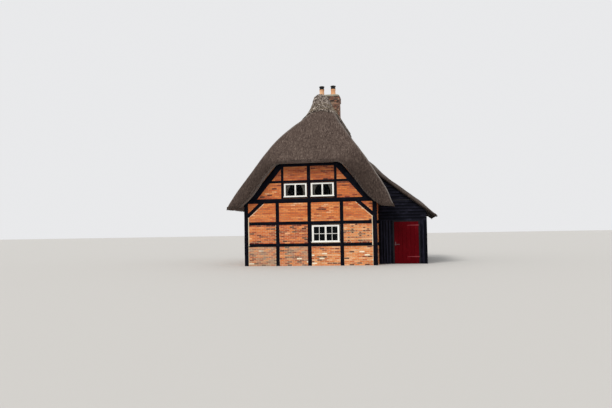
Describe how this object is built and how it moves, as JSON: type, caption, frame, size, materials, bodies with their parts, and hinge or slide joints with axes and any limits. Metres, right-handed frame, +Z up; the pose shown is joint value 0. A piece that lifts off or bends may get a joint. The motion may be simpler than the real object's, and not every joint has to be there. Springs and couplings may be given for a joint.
{
  "type": "thatched cottage",
  "caption": "Half-timbered brick cottage with a half-hipped thatched roof, white casement windows, a brick stack with clay pots and a boarded outshut with a red plank door.",
  "frame": {"origin": "at ground level, in the middle of the main range's footprint, on the underside of its ground floor slab", "axes": "+X to the right along the front gable, towards the boarded outshut; +Y from the front gable to the rear gable; +Z up"},
  "size_m": [9.63, 9.8862, 8.9406],
  "materials": {
    "brick": "matte",
    "timber": "satin",
    "thatch": "matte",
    "joinery": "gloss",
    "glass": "gloss",
    "boards": "matte",
    "door": "satin",
    "iron": "satin",
    "chimney_brick": "matte",
    "cement": "matte",
    "pot": "matte",
    "floor": "matte",
    "floorboards": "matte"
  },
  "bodies": {
    "cottage": {"main_floor": "floor", "upper_floor": "floorboards", "front_gable_wall": "brick", "front_gable_frame": "timber", "rear_gable_wall": "brick", "rear_gable_frame": "timber", "left_side_wall": "brick", "left_side_frame": "timber", "right_side_wall_front": "brick", "right_side_wall_rear": "brick", "right_side_wall_over_doorway": "brick", "right_side_frame": "timber", "front_lower_window": "joinery", "front_lower_glass": "glass", "front_upper_right_window": "joinery", "front_upper_left_window": "joinery", "front_upper_right_glass": "glass", "front_upper_left_glass": "glass", "rear_lower_window": "joinery", "rear_lower_glass": "glass", "rear_upper_right_window": "joinery", "rear_upper_left_window": "joinery", "rear_upper_right_glass": "glass", "rear_upper_left_glass": "glass", "left_front_window": "joinery", "left_front_glass": "glass", "left_rear_window": "joinery", "left_rear_glass": "glass", "thatch_front_hood": "thatch", "thatch_rear_hood": "thatch", "thatch_left_slope": "thatch", "thatch_right_slope": "thatch", "thatch_ridge": "thatch", "outshut_thatch": "thatch", "chimney_stack": "chimney_brick", "chimney_flaunching": "cement", "left_chimney_pot": "pot", "left_chimney_cowl": "iron", "right_chimney_pot": "pot", "right_chimney_cowl": "iron", "outshut_front_boards_left": "boards", "outshut_front_boards_right": "boards", "outshut_gable_boards": "boards", "outshut_side_wall": "boards", "outshut_rear_wall": "boards", "door_post_left": "boards", "door_post_right": "boards", "door_lintel": "boards", "outshut_floor": "floor", "upper_hinge_pin": "iron", "lower_hinge_pin": "iron"},
    "door": {"red_door": "door", "upper_strap_hinge": "door", "lower_strap_hinge": "door", "door_latch": "iron"}
  },
  "joints": [
    {"name": "door_hinge", "type": "hinge", "parent": "cottage", "child": "door", "pos_m": [4.955, -3.4126, 1], "axis": [0, 0, 1], "range_deg": [0, 105]}
  ]
}
